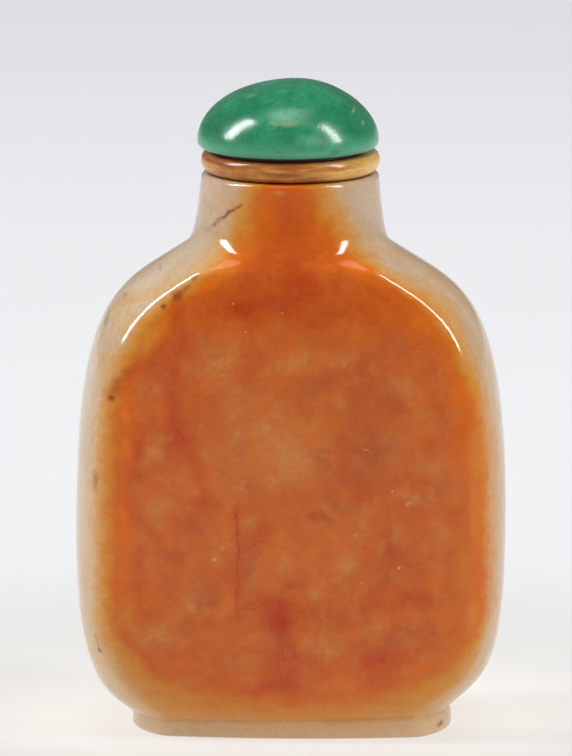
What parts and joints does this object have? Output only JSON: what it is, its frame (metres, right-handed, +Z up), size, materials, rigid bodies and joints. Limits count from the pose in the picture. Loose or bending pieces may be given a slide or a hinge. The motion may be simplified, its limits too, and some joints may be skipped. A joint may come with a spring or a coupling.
{
  "type": "snuff bottle",
  "caption": "Flattened stone snuff bottle, hollow, with a short round neck, an oval foot and a domed stopper cap on a thin collar.",
  "frame": {"origin": "centre of the plane that the foot rim stands on, under the middle of the bottle", "axes": "+Z up through the neck; +X along the broad width, to the viewer's right; -Y out of the broad front face"},
  "size_m": [0.0444, 0.0232, 0.0672],
  "materials": {
    "mottled_stone": "glossy hand polish; translucent pale grey-beige stone with a russet-orange skin colour over the faces, red-brown veins and small pale clouds",
    "amber_horn": "polished amber-brown horn with reddish and golden streaks",
    "green_stone": "high polish; even mid green with fine pale and dark specks"
  },
  "bodies": {
    "root": {"bottle": "mottled_stone", "collar": "amber_horn", "cap": "green_stone"}
  },
  "joints": []
}
